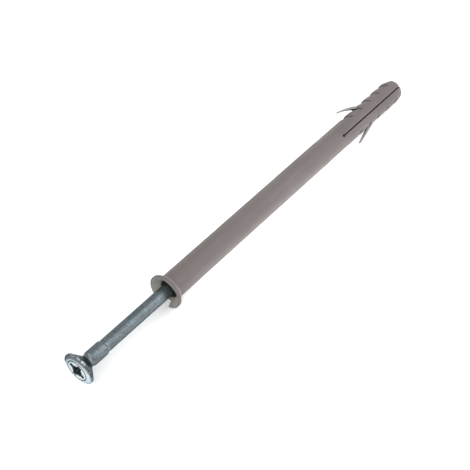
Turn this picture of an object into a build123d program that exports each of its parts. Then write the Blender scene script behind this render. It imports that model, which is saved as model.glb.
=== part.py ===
from build123d import *
import os
from math import atan2, cos, degrees, radians, sin, sqrt, tan

# Hammer fixing, 8 mm x 120 mm: a nylon sleeve with a countersunk collar and a nail screw that
# stands ready in its bore, lying on a flat surface as it comes to rest.
# All lengths are millimetres. Stations are measured along the sleeve's own axis, from the front
# face of the collar (0) towards the tip (sleeve_len). Roll angles are measured round that axis,
# from straight up towards -Y.

# ---- sleeve ----
sleeve_od = 8.0             # fits an 8 mm drilled hole
sleeve_len = 120.0
expansion_od = 7.86         # the expansion zone is drawn in slightly behind the tube
expansion_start = 77.5
tip_od = 7.6                # nose ahead of the last tooth step
tip_round = 2.0             # rounding of the nose's outer edge

collar_od = 11.3
collar_rim = 0.95           # height of the collar's cylindrical rim
collar_back = 2.85          # station where the collar's cone meets the tube
cup_mouth_d = 10.4          # seat for the countersunk head, at the front face
cup_half_angle = 49.1
collar_slot_w = 2.6         # slot through the rim
collar_slot_roll = 180.0
collar_slot_floor = 3.2     # distance of the slot's floor from the axis
collar_slot_depth = 1.9

bore_mouth_d = 6.0          # the wide bore narrows slightly over its first part
bore_d = 5.3                # wide bore of the tube
bore_draft_end = 14.0
guide_d = 4.2               # narrower bore of the expansion zone, runs on the nail
bore_cone = (74.0, 78.0)

# ---- expansion zone ----
slit_roll = 41.0            # the slit's plane
slit_start = 86.0
slit_w = 0.45
slit_hole_d = 1.0
web_start = 111.5           # from here to the nose a thin web closes the slit at the bore
web_t = 0.28
flank_roll = (slit_roll - 90.0, slit_roll + 90.0)   # centre lines of the two halves
tooth_steps = (95.0, 100.15, 105.3, 110.5, 115.6)   # steep faces, which look back at the head
tooth_depth = 1.5
tooth_plateau = 1.9         # full-height part of each tooth behind its step
nose_start = 116.3          # flat lead-in facet on each flank of the nose
nose_depth = 1.45

# barbs, from root to tip: (station, distance from the axis, thickness, width)
barb_up = ((101.0, 3.2, 1.0, 2.3), (98.4, 4.72, 0.78, 1.9), (95.6, 5.8, 0.62, 1.5), (92.5, 6.62, 0.46, 1.0))
barb_down = ((101.5, 3.45, 1.0, 2.0), (98.3, 4.52, 0.72, 1.5), (95.5, 5.3, 0.64, 1.15), (92.7, 6.0, 0.56, 0.8))
barb_up_roll = -49.0
barb_down_roll = 127.0      # leans a little off its half's centre line, clear of the ground

# ---- nail screw ----
nail_len = 125.0
nail_out = 36.4             # how far its face stands out of the collar at rest
head_d = 10.5
head_flat_d = 6.76          # flat striking face, inside a fine ring step
ring_step = 0.05
dome_h = 0.5                # the head is domed from the ring step to its rim
head_rim = 0.65
neck_d = 4.1
head_h = 4.05
thick_d = 4.66              # plain shank under the head
thick_end = 10.25           # from the face
shank_d = 4.06              # rolled shank, over its thread
point_len = 5.5
point_d = 1.1
recess_roll = -59.0         # one pair of wings of the cross recess
recess_span = 5.4
recess_wing_w = 1.15
recess_core_d = 3.4
recess_depth = 2.75

# ---- rest pose: the collar's slot edges and the tip's underside touch the surface ----
slot_edge_drop = sqrt((collar_od / 2) ** 2 - (collar_slot_w / 2) ** 2)
tip_contact = tooth_steps[-1] + 0.6
tilt = atan2(slot_edge_drop - expansion_od / 2, tip_contact - collar_rim)
axis_x = -41.776            # station 0 in X, so that the whole part is centred on the origin
axis_z = slot_edge_drop * cos(tilt) + collar_rim * sin(tilt)
axis_start = Vector(axis_x, 0, axis_z)
axis_dir = Vector(cos(tilt), 0, -sin(tilt))


def along(s):
    """Point of the axis at a station."""
    return axis_start + axis_dir * s


def radial(roll):
    """Unit vector square to the axis, at a roll angle."""
    up = Vector(sin(tilt), 0, cos(tilt))
    side = Vector(0, -1, 0)
    return up * cos(radians(roll)) + side * sin(radians(roll))


def side_plane(roll):
    """Plane through the axis: local x is the station, local y the distance at that roll."""
    return Plane(origin=axis_start, x_dir=axis_dir, z_dir=axis_dir.cross(radial(roll)))


def cross_plane(s, roll=0.0):
    """Plane square to the axis at a station, its local x at that roll."""
    return Plane(origin=along(s), x_dir=radial(roll), z_dir=axis_dir)


axis_line = Axis(axis_start, axis_dir)
upright = side_plane(0.0)


def barb_section(line, k, roll):
    """Plane across a barb at one of its points, square to the way from its root to its tip."""
    points = [along(s) + radial(roll) * r for s, r, t, w in line]
    run = (points[-1] - points[0]).normalized()
    return Plane(origin=points[k], x_dir=axis_dir.cross(radial(roll)), z_dir=run)


# ---- sleeve: one moulding ----
r_tube = sleeve_od / 2
r_exp = expansion_od / 2
r_tip = tip_od / 2
r_rim = collar_od / 2
r_cup = cup_mouth_d / 2
cup_bottom = (r_cup - bore_mouth_d / 2) / tan(radians(cup_half_angle))

with BuildPart() as sleeve:
    with BuildSketch(upright):
        with BuildLine():
            Polyline(
                (0, r_cup),
                (0, r_rim - 0.18),
                (0.18, r_rim),
                (collar_rim, r_rim),
                (collar_back, r_tube + 0.02),
                (collar_back + 0.5, r_tube),
                (expansion_start, r_tube),
                (expansion_start + 0.3, r_exp),
                (tooth_steps[-1] + 0.6, r_exp),
                (sleeve_len - tip_round, r_tip),
            )
            RadiusArc((sleeve_len - tip_round, r_tip), (sleeve_len, r_tip - tip_round), tip_round)
            Polyline(
                (sleeve_len, r_tip - tip_round),
                (sleeve_len, 0),
                (0, 0),
                (0, r_cup),
            )
        make_face()
    revolve(axis=axis_line)

    # saw teeth on both flanks, cut straight across each half
    for roll in flank_roll:
        with BuildSketch(side_plane(roll)):
            for k, step in enumerate(tooth_steps):
                start = (tooth_steps[k - 1] if k else step - 5.2) + tooth_plateau
                with BuildLine():
                    Polyline(
                        (start, r_exp + 0.4),
                        (start, r_exp + 0.001),
                        (start + 1.6, r_exp - 0.38),
                        (step - 0.15, r_exp - tooth_depth),
                        (step, r_exp - tooth_depth + 0.1),
                        (step, r_exp + 0.4),
                        (start, r_exp + 0.4),
                    )
                make_face()
            # lead-in facet of the nose, ahead of the last step
            with BuildLine():
                Polyline(
                    (nose_start, r_exp + 0.4),
                    (nose_start, r_exp + 0.001),
                    (sleeve_len + 0.5, r_exp - nose_depth),
                    (sleeve_len + 0.5, r_exp + 0.4),
                    (nose_start, r_exp + 0.4),
                )
            make_face()
        extrude(amount=5, both=True, mode=Mode.SUBTRACT)

    # anti-rotation barbs, hinged on the second tooth and splayed back towards the head
    for roll, line in ((barb_up_roll, barb_up), (barb_down_roll, barb_down)):
        for k, (s, r, thick, wide) in enumerate(line):
            with BuildSketch(barb_section(line, k, roll)):
                Rectangle(wide, thick)
        loft(ruled=True)

    # seat for the head, wide bore, guide bore
    with BuildSketch(upright):
        with BuildLine():
            Polyline(
                (-1, 0),
                (-1, r_cup),
                (0, r_cup),
                (cup_bottom, bore_mouth_d / 2),
                (bore_draft_end, bore_d / 2),
                (bore_cone[0], bore_d / 2),
                (bore_cone[1], guide_d / 2),
                (sleeve_len + 1, guide_d / 2),
                (sleeve_len + 1, 0),
                (-1, 0),
            )
        make_face()
    revolve(axis=axis_line, mode=Mode.SUBTRACT)

    # slit through both walls of the expansion zone, with the round relief hole at its start
    with BuildSketch(side_plane(flank_roll[0])):
        with Locations(((slit_start + web_start) / 2, 0)):
            Rectangle(web_start - slit_start, slit_w)
        with Locations((slit_start, 0)):
            Circle(slit_hole_d / 2)
    extrude(amount=5, both=True, mode=Mode.SUBTRACT)

    # the slit's last part stops short of the bore on both walls and leaves the web
    for turn in (90.0, -90.0):
        with BuildSketch(cross_plane(web_start, flank_roll[0] + turn)):
            with Locations((guide_d / 2 + web_t + 2, 0)):
                Rectangle(4, slit_w)
        extrude(amount=sleeve_len + 1 - web_start, mode=Mode.SUBTRACT)

    # slot through the collar's rim
    with BuildSketch(side_plane(collar_slot_roll)):
        with Locations((collar_slot_depth / 2 - 0.5, collar_slot_floor + 2)):
            Rectangle(collar_slot_depth + 1, 4)
    extrude(amount=collar_slot_w / 2, both=True, mode=Mode.SUBTRACT)

sleeve.part.label = "sleeve"

# ---- nail screw: one cold-formed piece ----
face_s = -nail_out
r_head = head_d / 2
r_flat = head_flat_d / 2
cone_start = face_s + dome_h + head_rim

with BuildPart() as nail_screw:
    with BuildSketch(upright):
        with BuildLine():
            Polyline(
                (face_s, 0),
                (face_s, r_flat),
                (face_s + ring_step, r_flat),
                (face_s + ring_step, r_flat + 0.06),
            )
            ThreePointArc(
                (face_s + ring_step, r_flat + 0.06),
                (face_s + 0.21, 4.5),
                (face_s + dome_h, r_head),
            )
            Polyline(
                (face_s + dome_h, r_head),
                (cone_start, r_head),
                (face_s + head_h - 0.35, neck_d / 2 + 0.25),
                (face_s + head_h, neck_d / 2),
                (face_s + head_h + 0.8, neck_d / 2),
                (face_s + head_h + 1.3, thick_d / 2),
                (face_s + thick_end, thick_d / 2),
                (face_s + thick_end + 0.7, shank_d / 2),
                (face_s + nail_len - point_len, shank_d / 2),
                (face_s + nail_len - 0.3, point_d / 2),
                (face_s + nail_len, point_d / 2 - 0.3),
                (face_s + nail_len, 0),
                (face_s, 0),
            )
        make_face()
    revolve(axis=axis_line)

    # cross recess: four tapering wings round a tapering core
    for turn in (0.0, 90.0):
        with BuildSketch(cross_plane(face_s, recess_roll + turn)):
            Rectangle(recess_span, recess_wing_w)
        extrude(amount=recess_depth, taper=9, mode=Mode.SUBTRACT)
    with BuildSketch(cross_plane(face_s, recess_roll)):
        Circle(recess_core_d / 2)
    extrude(amount=recess_depth, taper=12, mode=Mode.SUBTRACT)

nail_screw.part.label = "nail_screw"

os.makedirs("parts", exist_ok=True)
export_step(sleeve.part, "parts/sleeve.step")
export_step(nail_screw.part, "parts/nail_screw.step")

whole = sleeve.part.bounding_box().add(nail_screw.part.bounding_box())
print("tilt deg", round(degrees(tilt), 3), "axis height", round(axis_z, 3))
print("box min", [round(v, 3) for v in whole.min], "max", [round(v, 3) for v in whole.max])
print("centre", [round(v, 3) for v in whole.center()])
print("volumes", round(sleeve.part.volume, 2), round(nail_screw.part.volume, 2))
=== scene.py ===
import math

import bmesh
import bpy
from mathutils import Matrix, Vector


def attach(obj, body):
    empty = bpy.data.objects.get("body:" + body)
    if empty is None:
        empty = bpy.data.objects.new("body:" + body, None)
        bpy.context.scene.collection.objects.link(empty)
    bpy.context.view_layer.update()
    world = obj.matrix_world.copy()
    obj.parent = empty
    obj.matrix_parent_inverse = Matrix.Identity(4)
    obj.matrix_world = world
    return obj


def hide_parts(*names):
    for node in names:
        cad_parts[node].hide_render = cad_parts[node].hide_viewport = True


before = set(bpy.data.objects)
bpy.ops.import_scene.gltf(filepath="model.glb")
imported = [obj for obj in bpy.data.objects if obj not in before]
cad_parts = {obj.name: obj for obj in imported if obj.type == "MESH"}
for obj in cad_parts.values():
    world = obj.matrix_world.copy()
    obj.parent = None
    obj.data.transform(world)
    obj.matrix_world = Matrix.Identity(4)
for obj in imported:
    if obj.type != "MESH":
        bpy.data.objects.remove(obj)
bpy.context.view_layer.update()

# Hammer fixing: nylon sleeve with its zinc-plated nail screw. Sizes below are millimetres, on the
# part's own axis: station s from the collar's front face, roll from straight up towards -Y.
MM = 0.001
TILT = math.radians(0.77968)
START = Vector((-41.776, 0.0, 5.51083))
AXIS = Vector((math.cos(TILT), 0.0, -math.sin(TILT)))
UP = Vector((math.sin(TILT), 0.0, math.cos(TILT)))
SIDE = Vector((0.0, -1.0, 0.0))


def at(s, r, roll):
    """Point in metres at a station, distance from the axis and roll in radians."""
    return (START + AXIS * s + UP * (r * math.cos(roll)) + SIDE * (r * math.sin(roll))) * MM


def smooth(x, lo, hi):
    t = min(1.0, max(0.0, (x - lo) / (hi - lo)))
    return t * t * (3 - 2 * t)


# ------------------------------------------------------------------ node helpers
class Tree:
    """Small helper round a material's or a world's node tree."""

    def __init__(self, owner):
        owner.use_nodes = True
        self.t = owner.node_tree
        self.t.nodes.clear()

    def n(self, kind, **values):
        node = self.t.nodes.new(kind)
        for k, v in values.items():
            if k.startswith("_"):
                setattr(node, k[1:], v)
            else:
                node.inputs[k.replace("_", " ")].default_value = v
        return node

    def link(self, a, b):
        self.t.links.new(a, b)

    def noise(self, coord, scale, detail=2.0, rough=0.5, lac=2.0, dist=0.0, stretch=None, offset=(0, 0, 0)):
        """Noise in cycles per millimetre; stretch gives its scale along X, Y and Z."""
        m = self.n("ShaderNodeMapping")
        m.inputs["Location"].default_value = offset
        m.inputs["Scale"].default_value = tuple(1000.0 * k for k in (stretch or (1, 1, 1)))
        self.link(coord, m.inputs["Vector"])
        t = self.n("ShaderNodeTexNoise")
        t.inputs["Scale"].default_value = scale
        t.inputs["Detail"].default_value = detail
        t.inputs["Roughness"].default_value = rough
        t.inputs["Lacunarity"].default_value = lac
        t.inputs["Distortion"].default_value = dist
        self.link(m.outputs["Vector"], t.inputs["Vector"])
        return t.outputs["Fac"]

    def ramp(self, fac, lo, hi, a=0.0, b=1.0, kind="SMOOTHSTEP"):
        m = self.t.nodes.new("ShaderNodeMapRange")
        m.interpolation_type = kind
        m.clamp = True
        self.link(fac, m.inputs["Value"])
        m.inputs["From Min"].default_value = lo
        m.inputs["From Max"].default_value = hi
        m.inputs["To Min"].default_value = a
        m.inputs["To Max"].default_value = b
        return m.outputs["Result"]

    def math(self, op, a, b=None):
        m = self.t.nodes.new("ShaderNodeMath")
        m.operation = op
        for i, v in enumerate((a, b)):
            if v is None:
                continue
            if isinstance(v, (int, float)):
                m.inputs[i].default_value = v
            else:
                self.link(v, m.inputs[i])
        return m.outputs[0]

    def mix(self, fac, a, b, blend="MIX"):
        m = self.t.nodes.new("ShaderNodeMix")
        m.data_type = "RGBA"
        m.blend_type = blend
        if isinstance(fac, (int, float)):
            m.inputs[0].default_value = fac
        else:
            self.link(fac, m.inputs[0])
        for i, v in ((6, a), (7, b)):
            if isinstance(v, tuple):
                m.inputs[i].default_value = (*v, 1.0) if len(v) == 3 else v
            else:
                self.link(v, m.inputs[i])
        return m.outputs[2]

    def bump(self, height, strength, distance, normal=None):
        b = self.t.nodes.new("ShaderNodeBump")
        b.inputs["Strength"].default_value = strength
        b.inputs["Distance"].default_value = distance
        self.link(height, b.inputs["Height"])
        if normal is not None:
            self.link(normal, b.inputs["Normal"])
        return b.outputs["Normal"]

    def edges(self, radius, samples=6):
        """Softened normal, and a mask of convex and concave edges."""
        bev = self.t.nodes.new("ShaderNodeBevel")
        bev.samples = samples
        bev.inputs["Radius"].default_value = radius
        geo = self.t.nodes.new("ShaderNodeNewGeometry")
        dot = self.t.nodes.new("ShaderNodeVectorMath")
        dot.operation = "DOT_PRODUCT"
        self.link(bev.outputs["Normal"], dot.inputs[0])
        self.link(geo.outputs["Normal"], dot.inputs[1])
        return bev.outputs["Normal"], dot.outputs["Value"]


def coords(t):
    return t.n("ShaderNodeTexCoord").outputs["Object"]


def station(t, co):
    """Distance along the part's axis, and distance from it."""
    from_start = t.n("ShaderNodeVectorMath", _operation="SUBTRACT")
    t.link(co, from_start.inputs[0])
    from_start.inputs[1].default_value = START * MM
    along = t.n("ShaderNodeVectorMath", _operation="DOT_PRODUCT")
    t.link(from_start.outputs["Vector"], along.inputs[0])
    along.inputs[1].default_value = AXIS
    square = t.n("ShaderNodeVectorMath", _operation="DOT_PRODUCT")
    t.link(from_start.outputs["Vector"], square.inputs[0])
    t.link(from_start.outputs["Vector"], square.inputs[1])
    s = along.outputs["Value"]
    return s, t.math("SQRT", t.math("ABSOLUTE", t.math("SUBTRACT", square.outputs["Value"], t.math("MULTIPLY", s, s))))


FACE = -36.4                       # station of the head's face at rest


# ------------------------------------------------------------------ materials
def nylon():
    mat = bpy.data.materials.new("grey_nylon")
    t = Tree(mat)
    co = coords(t)
    shader = t.n("ShaderNodeBsdfPrincipled")
    out = t.n("ShaderNodeOutputMaterial")
    soft, edge = t.edges(0.00014)
    # colour: broad clouding of the melt, faint flow streaks along the tube, fine speckle
    cloud = t.noise(co, 0.11, 3.0, 0.55, stretch=(0.5, 1, 1))
    flow = t.noise(co, 0.9, 3.0, 0.6, stretch=(0.035, 1, 1), dist=0.3)
    speck = t.noise(co, 5.5, 2.0, 0.6)
    col = t.mix(t.ramp(cloud, 0.33, 0.67), (0.125, 0.105, 0.101), (0.146, 0.123, 0.119))
    col = t.mix(t.math("MULTIPLY", t.ramp(flow, 0.35, 0.7), 0.35), col, (0.172, 0.150, 0.144))
    col = t.mix(t.math("MULTIPLY", t.ramp(speck, 0.58, 0.78), 0.30), col, (0.195, 0.175, 0.168))
    # rubbed, paler edges
    worn = t.math("MULTIPLY", t.ramp(edge, 0.985, 0.90), t.ramp(t.noise(co, 1.3, 3.0, 0.6), 0.30, 0.62, 0.35, 1.0))
    col = t.mix(t.math("MULTIPLY", worn, 0.5), col, (0.240, 0.216, 0.208))
    # thin barbs are painted paler, painted light for light passing through the thin plastic; the seat is painted paler
    # too, painted light on the inside of the cup
    s, r = station(t, co)
    thin = t.math("MULTIPLY", t.ramp(r, 0.00396, 0.00412), t.ramp(s, 0.088, 0.090))
    seat = t.math("MULTIPLY", t.ramp(s, 0.0021, 0.0016), t.ramp(r, 0.0053, 0.0051))
    # painted shade: darker towards the collar end
    col = t.mix(t.ramp(s, 0.060, 0.004, 0.0, 0.42), col, (0.112, 0.092, 0.086))
    col = t.mix(t.math("MULTIPLY", thin, 0.85), col, (0.300, 0.288, 0.282))
    # painted shade: the sloping faces of the teeth and of the nose get a greyer colour, standing in for how light
    # falls on them
    slope = t.math("MULTIPLY", t.ramp(r, 0.00388, 0.00374), t.ramp(s, 0.088, 0.090))
    col = t.mix(t.math("MULTIPLY", slope, 0.80), col, (0.158, 0.152, 0.138))
    # painted light: the seat of the cup is painted paler
    col = t.mix(t.math("MULTIPLY", seat, 0.80), col, (0.285, 0.278, 0.250))
    # painted shade: darker in the slit, tooth roots and bore where ambient occlusion finds them, less on the thin
    # barbs and on the lower side towards -Y
    ao = t.n("ShaderNodeAmbientOcclusion")
    ao.only_local = True
    ao.samples = 8
    ao.inputs["Distance"].default_value = 0.0009
    crevice_shade = t.math("MULTIPLY", t.ramp(ao.outputs["AO"], 0.60, 0.24), t.ramp(thin, 0.0, 0.6, 0.85, 0.10))
    low = t.n("ShaderNodeVectorMath", _operation="DOT_PRODUCT")
    t.link(co, low.inputs[0])
    low.inputs[1].default_value = UP * math.cos(math.radians(127)) + SIDE * math.sin(math.radians(127))
    crevice_shade = t.math("MULTIPLY", crevice_shade, t.ramp(low.outputs["Value"], -0.0030, -0.0015, 1.0, 0.45))
    col = t.mix(crevice_shade, col, (0.036, 0.026, 0.024))
    t.link(col, shader.inputs["Base Color"])
    rough = t.ramp(t.noise(co, 0.55, 4.0, 0.6, stretch=(0.35, 1, 1)), 0.3, 0.7, 0.52, 0.64)
    rough = t.math("ADD", rough, t.math("MULTIPLY", worn, 0.06))
    t.link(rough, shader.inputs["Roughness"])
    fine = t.noise(co, 7.0, 3.0, 0.6)
    wavy = t.noise(co, 0.6, 2.0, 0.5, stretch=(0.06, 1, 1))
    nrm = t.bump(fine, 0.22, 0.00003, soft)
    nrm = t.bump(wavy, 0.25, 0.00008, nrm)
    t.link(nrm, shader.inputs["Normal"])
    shader.inputs["IOR"].default_value = 1.48
    shader.inputs["Subsurface Weight"].default_value = 0.15
    shader.inputs["Subsurface Radius"].default_value = (0.0009, 0.0008, 0.0008)
    shader.inputs["Subsurface Scale"].default_value = 1.0
    t.link(shader.outputs[0], out.inputs["Surface"])
    return mat


def zinc():
    mat = bpy.data.materials.new("zinc_plate")
    t = Tree(mat)
    co = coords(t)
    shader = t.n("ShaderNodeBsdfPrincipled")
    out = t.n("ShaderNodeOutputMaterial")
    soft, edge = t.edges(0.00010)
    patch = t.noise(co, 0.42, 4.0, 0.65, stretch=(0.6, 1, 1))
    tint = t.noise(co, 0.16, 2.0, 0.5, offset=(3.1, 1.7, 5.2))
    drawn = t.noise(co, 3.2, 3.0, 0.6, stretch=(0.02, 1, 1))
    grain = t.noise(co, 9.0, 2.0, 0.6)
    across = t.noise(co, 1.0, 3.0, 0.7, stretch=(2.4, 0.7, 0.7), offset=(1.3, 0.2, 2.6))
    col = t.mix(t.ramp(patch, 0.32, 0.68), (0.124, 0.148, 0.158), (0.162, 0.191, 0.204))
    col = t.mix(t.math("MULTIPLY", t.ramp(tint, 0.50, 0.72), 0.55), col, (0.134, 0.172, 0.208))
    col = t.mix(t.math("MULTIPLY", t.ramp(tint, 0.46, 0.28), 0.40), col, (0.168, 0.180, 0.170))
    col = t.mix(t.math("MULTIPLY", t.ramp(drawn, 0.50, 0.72), 0.30), col, (0.225, 0.252, 0.266))
    # fine marks of the rolling dies across the shank
    col = t.mix(t.ramp(across, 0.50, 0.36, 0.0, 0.42), col, (0.080, 0.096, 0.104))
    col = t.mix(t.ramp(across, 0.52, 0.66, 0.0, 0.42), col, (0.275, 0.305, 0.320))
    s, r = station(t, co)
    # the struck face is a little greyer than the shank
    face = t.math("MULTIPLY", t.ramp(s, (FACE + 0.42) * MM, (FACE + 0.12) * MM), 0.75)
    col = t.mix(face, col, (0.150, 0.158, 0.160))
    # painted shade: the outer ring of the domed face is darker, standing in for its dark reflection
    dome = t.math("MULTIPLY", t.ramp(r, 0.0036, 0.0040), t.ramp(s, (FACE + 0.9) * MM, (FACE + 0.6) * MM))
    col = t.mix(t.math("MULTIPLY", dome, 0.60), col, (0.110, 0.122, 0.129))
    # mask of the recess inside, used below for painted shade and for more roughness
    inside = t.math("MULTIPLY", t.ramp(r, 0.00318, 0.00298), t.ramp(s, (FACE + 0.02) * MM, (FACE + 0.28) * MM))
    inside = t.math("MULTIPLY", inside, t.ramp(s, (FACE + 3.2) * MM, (FACE + 3.0) * MM))
    # painted shade: darker where ambient occlusion finds the recess and the underside of the head, weaker from the
    # neck on; the recess is painted dark all over as well
    ao = t.n("ShaderNodeAmbientOcclusion")
    ao.only_local = True
    ao.samples = 8
    ao.inputs["Distance"].default_value = 0.0022
    occlusion_shade = t.math("MULTIPLY", t.ramp(ao.outputs["AO"], 0.62, 0.22, 0.0, 0.75),
                  t.ramp(s, (FACE + 2.9) * MM, (FACE + 3.5) * MM, 1.0, 0.3))
    col = t.mix(occlusion_shade, col, (0.030, 0.036, 0.038))
    col = t.mix(t.math("MULTIPLY", inside, 0.88), col, (0.042, 0.050, 0.053))
    # painted shade: a dark line in the groove of the ring round the face
    line = t.math("MULTIPLY", t.ramp(r, 0.00324, 0.00331), t.ramp(r, 0.00366, 0.00357))
    line = t.math("MULTIPLY", line, t.ramp(s, (FACE + 0.3) * MM, (FACE + 0.25) * MM))
    col = t.mix(t.math("MULTIPLY", line, 0.88), col, (0.024, 0.029, 0.031))
    # painted glints and painted dark reflections in patches on the rolled rim
    rim_reflection_noise = t.noise(co, 0.62, 3.0, 0.6, offset=(0.9, 2.2, 0.4))
    rim = t.math("MULTIPLY", t.ramp(r, 0.00488, 0.00508), 0.75)
    col = t.mix(t.math("MULTIPLY", rim, t.ramp(rim_reflection_noise, 0.50, 0.42)), col, (0.070, 0.086, 0.092))
    col = t.mix(t.math("MULTIPLY", rim, t.ramp(rim_reflection_noise, 0.52, 0.60)), col, (0.360, 0.395, 0.410))
    # painted glint: one bright spot on the rim's edge
    glint_spot = t.n("ShaderNodeVectorMath", _operation="DISTANCE")
    t.link(co, glint_spot.inputs[0])
    glint_spot.inputs[1].default_value = at(FACE + 0.60, 5.22, math.radians(23))
    col = t.mix(t.ramp(glint_spot.outputs["Value"], 0.00056, 0.00022, 0.0, 0.80), col, (0.520, 0.550, 0.560))
    # painted sparkle: bright patches at the step of the shank
    step = t.math("MULTIPLY", t.ramp(s, (FACE + 9.7) * MM, (FACE + 10.1) * MM), t.ramp(s, (FACE + 11.6) * MM, (FACE + 10.9) * MM))
    step = t.math("MULTIPLY", step, t.ramp(t.noise(co, 1.7, 3.0, 0.65), 0.50, 0.66, 0.0, 0.75))
    col = t.mix(step, col, (0.420, 0.455, 0.470))
    # paler convex edges: partly wear, partly painted glints
    edge_wear_glint = t.math("MULTIPLY", t.ramp(edge, 0.98, 0.86), t.ramp(t.noise(co, 1.8, 3.0, 0.6), 0.32, 0.60, 0.3, 1.0))
    col = t.mix(t.math("MULTIPLY", edge_wear_glint, 0.5), col, (0.450, 0.485, 0.500))
    t.link(col, shader.inputs["Base Color"])
    rough = t.ramp(t.noise(co, 1.1, 4.0, 0.65), 0.28, 0.72, 0.30, 0.43)
    rough = t.math("ADD", rough, t.math("MULTIPLY", t.ramp(grain, 0.4, 0.8), 0.05))
    rough = t.math("ADD", rough, t.math("MULTIPLY", inside, 0.20))
    rough = t.math("SUBTRACT", rough, t.ramp(r, 0.0027, 0.0031, 0.0, 0.11))
    t.link(rough, shader.inputs["Roughness"])
    nrm = t.bump(drawn, 0.25, 0.00002, soft)
    nrm = t.bump(grain, 0.20, 0.000015, nrm)
    nrm = t.bump(across, 0.35, 0.00003, nrm)
    nrm = t.bump(t.noise(co, 0.9, 3.0, 0.6), 0.32, 0.00006, nrm)
    t.link(nrm, shader.inputs["Normal"])
    shader.inputs["Metallic"].default_value = 1.0
    shader.inputs["Specular Tint"].default_value = (0.35, 0.38, 0.40, 1.0)
    t.link(shader.outputs[0], out.inputs["Surface"])
    return mat


def floor_paint():
    mat = bpy.data.materials.new("pale_floor")
    t = Tree(mat)
    co = coords(t)
    shader = t.n("ShaderNodeBsdfPrincipled")
    out = t.n("ShaderNodeOutputMaterial")
    col = t.mix(t.ramp(t.noise(co, 0.02, 2.0), 0.3, 0.7), (0.875, 0.877, 0.88), (0.89, 0.89, 0.89))
    t.link(col, shader.inputs["Base Color"])
    shader.inputs["Emission Color"].default_value = (1.0, 1.0, 1.0, 1.0)
    # painted light: the floor glows faintly everywhere, more along the sleeve and most on its -Y side, fading beyond
    # the tip, and a strong pool of light glows under and in front of the head
    place = t.n("ShaderNodeSeparateXYZ")
    t.link(co, place.inputs[0])
    x = place.outputs["X"]
    dx, dy = t.math("ADD", x, 0.082), t.math("SUBTRACT", place.outputs["Y"], 0.0028)
    away = t.math("SQRT", t.math("ADD", t.math("MULTIPLY", dx, dx), t.math("MULTIPLY", dy, dy)))
    beside = t.ramp(place.outputs["Y"], 0.002, -0.006, 0.40, 1.15)
    glow = t.math("ADD", 0.12, t.math("MULTIPLY", t.ramp(x, -0.046, -0.020), beside))
    glow = t.math("MULTIPLY", glow, t.ramp(x, 0.085, 0.015, 0.42, 1.0))
    glow = t.math("ADD", glow, t.ramp(away, 0.0090, 0.0060, 0.0, 6.5))
    t.link(glow, shader.inputs["Emission Strength"])
    shader.inputs["Roughness"].default_value = 0.75
    shader.inputs["Specular IOR Level"].default_value = 0.15
    t.link(shader.outputs[0], out.inputs["Surface"])
    return mat


# ------------------------------------------------------------------ nail screw
N = 96                             # points round the axis
HEAD = (                           # (distance behind the face, radius), from the ring line outwards
    (0.004, 3.155), (0.020, 3.18), (0.200, 3.215), (0.235, 3.29), (0.225, 3.39), (0.085, 3.485), (0.058, 3.53),
    (0.060, 3.64), (0.085, 3.90), (0.135, 4.20), (0.210, 4.50), (0.300, 4.77), (0.395, 4.99), (0.475, 5.12),
    (0.545, 5.20), (0.63, 5.243), (0.74, 5.247), (0.98, 5.247), (1.08, 5.235), (1.16, 5.185), (1.26, 5.09),
    (1.55, 4.78), (2.05, 4.20), (2.65, 3.51), (3.15, 2.93), (3.45, 2.59), (3.70, 2.32), (3.87, 2.16), (4.05, 2.075),
    (4.22, 2.05), (4.86, 2.05), (4.98, 2.085), (5.14, 2.215), (5.26, 2.30), (5.38, 2.328), (5.60, 2.33), (6.60, 2.33),
    (8.40, 2.33), (9.95, 2.33), (10.17, 2.325), (10.31, 2.29), (10.60, 2.15), (10.82, 2.06), (11.00, 2.035), (11.20, 2.03),
)
THREAD = (55.0, 58.5, 116.5, 120.5)     # fade in, full, full, fade out
PITCH = 1.6
DEPTH = 0.27
POINT = ((119.5, 2.03), (120.0, 1.995), (120.6, 1.86), (122.0, 1.46), (123.6, 0.92), (124.5, 0.61),
         (124.72, 0.53), (124.88, 0.42), (124.97, 0.26), (125.0, 0.10))


def thread_radius(h, roll):
    """Radius of the rolled shank behind the face: steep flanks look at the head, right-handed."""
    base = 2.03
    if h >= POINT[0][0]:
        for (h0, r0), (h1, r1) in zip(POINT, POINT[1:]):
            if h <= h1:
                base = r0 + (r1 - r0) * (h - h0) / (h1 - h0)
                break
    amount = smooth(h, THREAD[0], THREAD[1]) * (1 - smooth(h, THREAD[2], THREAD[3] + 1.5))
    ph = (h / PITCH - roll / (2 * math.pi)) % 1.0
    if ph < 0.16:
        crest = smooth(ph, 0.0, 0.16)
    elif ph < 0.30:
        crest = 1.0
    else:
        crest = 1.0 - smooth(ph, 0.30, 0.96) * 0.35 - 0.65 * min(1.0, (ph - 0.30) / 0.62)
        crest = max(0.0, crest)
    return base - DEPTH * amount * (1.0 - crest)


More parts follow.
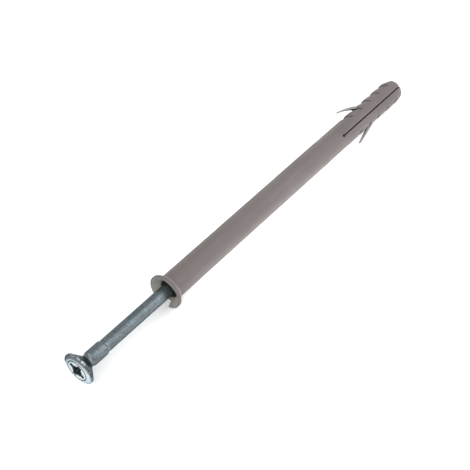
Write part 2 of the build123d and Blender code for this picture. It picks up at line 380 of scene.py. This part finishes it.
def recess_outline(half, tip, core, grow=0.0):
    """Closed outline of the cross recess, N points, wings at 0, 90, 180 and 270 degrees of local roll.
    half: half width of a wing, tip: distance of its end, core: radius of the rounded middle."""
    half, tip, core = half + grow, tip + grow, core + grow
    root = math.sqrt(max(core * core - half * half, 1e-6))
    corner = min(0.34, half * 0.62)
    pts = []
    for q in range(4):
        a = q * math.pi / 2
        ca, sa = math.cos(a), math.sin(a)
        local = []
        # one side of the wing outwards, its rounded end, and back inwards
        side = [root + (tip - corner - root) * k / 5 for k in range(5)]
        local += [(x, -half) for x in side]
        for k in range(4):
            g = math.radians(-90 + 90 * (k + 0.0) / 4)
            local.append((tip - corner + corner * math.cos(g), -half + corner + corner * math.sin(g)))
        local.append((tip, 0.0))
        for k in range(3, -1, -1):
            g = math.radians(-90 + 90 * (k + 0.0) / 4)
            local.append((tip - corner + corner * math.cos(g), half - corner - corner * math.sin(g)))
        local += [(x, half) for x in reversed(side)]
        # core between this wing and the next
        g0 = math.atan2(half, root)
        for k in range(1, 6):
            g = g0 + (math.pi / 2 - 2 * g0) * k / 6
            local.append((core * math.cos(g), core * math.sin(g)))
        pts += [(x * ca - y * sa, x * sa + y * ca) for x, y in local]
    assert len(pts) == N, len(pts)
    # the list begins at the inner end of the first side of the wing at local roll 0
    return pts


def make_nail():
    bm = bmesh.new()
    turn = math.radians(-59.0)
    rings = []

    def ring(points):
        rings.append([bm.verts.new(p) for p in points])

    def outline(depth, half, tip, core, grow=0.0):
        pts = recess_outline(half, tip, core, grow)
        ring([at(FACE + depth, math.hypot(x, y), turn + math.atan2(y, x)) for x, y in pts])

    # recess from its floor up to the face
    ends = recess_outline(0.575, 2.7, 1.55)
    rolls = [turn + math.atan2(y, x) for x, y in ends]
    # even spacing of the round rings, in step with the outline's points
    first = rolls[0]
    even = [first + 2 * math.pi * k / N + math.radians(-2.0) for k in range(N)]

    centre_low = bm.verts.new(at(FACE + 2.75, 0.0, 0.0))
    for depth, half, tip, core in ((2.72, 0.16, 0.62, 0.55), (2.62, 0.26, 1.16, 0.98), (2.35, 0.34, 1.65, 1.24),
                                   (1.90, 0.42, 2.12, 1.40), (1.40, 0.50, 2.40, 1.53), (0.90, 0.57, 2.56, 1.64),
                                   (0.40, 0.64, 2.67, 1.74), (0.10, 0.685, 2.72, 1.79)):
        outline(depth, half, tip, core)
    outline(0.025, 0.685, 2.72, 1.79, 0.030)
    outline(0.0, 0.685, 2.72, 1.79, 0.065)
    outline(0.0, 0.69, 2.72, 1.79, 0.16)
    ring([at(FACE, 2.98, e) for e in even])
    ring([at(FACE, 3.10, e) for e in even])
    for h, r in HEAD:
        ring([at(FACE + h, r, e) for e in even])
    h = HEAD[-1][0]
    rows = []
    while h < THREAD[0] - 1.0:
        h += 2.0
        rows.append(min(h, THREAD[0] - 0.1))
    h = THREAD[0]
    while h < 121.9:
        rows.append(h)
        h += 0.1
    rows += [122.4, 122.8, 123.2, 123.6, 124.1, 124.5, 124.72, 124.88, 124.97, 125.0]
    for h in rows:
        ring([at(FACE + h, thread_radius(h, e), e) for e in even])
    tip = bm.verts.new(at(FACE + 125.0, 0.0, 0.0))

    for a, b in zip(rings, rings[1:]):
        for k in range(N):
            j = (k + 1) % N
            bm.faces.new((a[k], a[j], b[j], b[k]))
    for k in range(N):
        j = (k + 1) % N
        bm.faces.new((centre_low, rings[0][j], rings[0][k]))
        bm.faces.new((tip, rings[-1][k], rings[-1][j]))
    bmesh.ops.recalc_face_normals(bm, faces=bm.faces)
    mesh = bpy.data.meshes.new("nail_screw_mesh")
    bm.to_mesh(mesh)
    bm.free()
    for p in mesh.polygons:
        p.use_smooth = True
    ob = bpy.data.objects.new("nail_screw_rolled", mesh)
    bpy.context.scene.collection.objects.link(ob)
    return ob


zinc_mat = zinc()
nylon_mat = nylon()

nail = make_nail()
nail.data.materials.append(zinc_mat)
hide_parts("nail_screw")
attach(nail, "nail")

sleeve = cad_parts["sleeve"]
for slot in sleeve.material_slots:
    slot.material = nylon_mat

# ------------------------------------------------------------------ floor, light, camera
bm = bmesh.new()
bmesh.ops.create_grid(bm, x_segments=8, y_segments=8, size=2.5)
mesh = bpy.data.meshes.new("floor_mesh")
bm.to_mesh(mesh)
bm.free()
floor = bpy.data.objects.new("floor", mesh)
floor.data.materials.append(floor_paint())
bpy.context.scene.collection.objects.link(floor)

world = bpy.data.worlds.new("studio")
bpy.context.scene.world = world
w = Tree(world)
direction = w.n("ShaderNodeTexCoord").outputs["Generated"]


def lobe(toward, inner, outer):
    """Soft round area of the studio's light tent, by its angle from a direction."""
    v = Vector(toward).normalized()
    dot = w.t.nodes.new("ShaderNodeVectorMath")
    dot.operation = "DOT_PRODUCT"
    w.link(direction, dot.inputs[0])
    dot.inputs[1].default_value = v
    return w.ramp(dot.outputs["Value"], math.cos(math.radians(outer)), math.cos(math.radians(inner)))


light = w.mix(lobe((-0.50, 0.0, 0.866), 20, 68), (0.50, 0.51, 0.52), (2.0, 2.0, 1.98))
light = w.mix(lobe((0.54, -0.60, 0.59), 6, 42), light, (1.95, 1.97, 2.0))
light = w.mix(lobe((0.50, 0.82, 0.12), 8, 50), light, (0.90, 0.92, 0.93))
back = w.n("ShaderNodeBackground")
w.link(light, back.inputs["Color"])
back.inputs["Strength"].default_value = 1.0
w.link(back.outputs[0], w.n("ShaderNodeOutputWorld").inputs["Surface"])


def softbox(name, place, target, size, power):
    data = bpy.data.lights.new(name, "AREA")
    data.shape = "RECTANGLE"
    data.size, data.size_y = size
    data.energy = power
    ob = bpy.data.objects.new(name, data)
    ob.location = place
    ob.rotation_mode = "QUATERNION"
    ob.rotation_quaternion = (Vector(target) - Vector(place)).to_track_quat("-Z", "Y")
    bpy.context.scene.collection.objects.link(ob)
    return ob


softbox("head_light", (0.062, -0.100, 0.22), (-0.070, 0, 0.004), (0.12, 0.12), 0.02)

cam_data = bpy.data.cameras.new("camera")
cam = bpy.data.objects.new("camera", cam_data)
bpy.context.scene.collection.objects.link(cam)
right = Vector((0.625967, -0.779849, 0.0))
up = Vector((0.569412, 0.457054, 0.683280))
away = Vector((-0.532855, -0.427711, 0.730156))
cam.matrix_world = Matrix((
    (right.x, up.x, away.x, -0.203925),
    (right.y, up.y, away.y, -0.156468),
    (right.z, up.z, away.z, 0.269532),
    (0, 0, 0, 1),
))
cam_data.sensor_width = 36.0
cam_data.lens = 91.624
cam_data.shift_x = -0.00106
cam_data.shift_y = 0.00106
cam_data.clip_start, cam_data.clip_end = 0.01, 20.0
bpy.context.scene.camera = cam

scene = bpy.context.scene
scene.view_settings.view_transform = "Standard"
scene.view_settings.look = "None"
scene.view_settings.exposure = 0.0
scene.view_settings.gamma = 1.0
